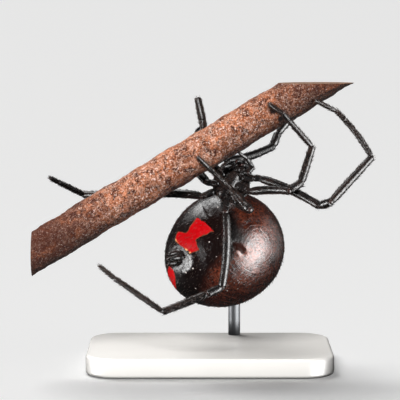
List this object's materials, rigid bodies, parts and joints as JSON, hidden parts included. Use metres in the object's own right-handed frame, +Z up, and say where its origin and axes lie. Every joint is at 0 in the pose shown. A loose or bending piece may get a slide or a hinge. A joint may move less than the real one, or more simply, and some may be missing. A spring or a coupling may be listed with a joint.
{
  "type": "black widow spider",
  "caption": "Life-size female black widow spider hanging under a cut stick, glossy black with a red hourglass under its globe of an abdomen, on a small display stand.",
  "frame": {"origin": "middle of the underside of the display base", "axes": "+Z up, +X along the stick towards its raised end, the spider's underside faces -Y"},
  "size_m": [0.0271, 0.0152, 0.0234],
  "materials": {
    "exoskeleton": "glossy black chitin",
    "abdomen": "polished dark brown to black cuticle with a red hourglass below and a red mark behind",
    "eyes": "wet black lens",
    "bark": "rough reddish brown bark",
    "stand_base": "satin off-white",
    "stand_rod": "brushed"
  },
  "bodies": {
    "root": {"cephalothorax": "exoskeleton", "pedicel": "exoskeleton", "abdomen": "abdomen", "spinnerets": "exoskeleton", "chelicera_left": "exoskeleton", "chelicera_right": "exoskeleton", "palp_left": "exoskeleton", "palp_right": "exoskeleton", "eye_anterior_median_left": "eyes", "eye_anterior_median_right": "eyes", "eye_anterior_lateral_left": "eyes", "eye_anterior_lateral_right": "eyes", "eye_posterior_median_left": "eyes", "eye_posterior_median_right": "eyes", "eye_posterior_lateral_left": "eyes", "eye_posterior_lateral_right": "eyes", "leg_left_1": "exoskeleton", "leg_left_2": "exoskeleton", "leg_left_3": "exoskeleton", "leg_left_4": "exoskeleton", "leg_right_1": "exoskeleton", "leg_right_2": "exoskeleton", "leg_right_3": "exoskeleton", "leg_right_4": "exoskeleton", "perch_stick": "bark", "stand_base": "stand_base", "stand_rod": "stand_rod"}
  },
  "joints": []
}
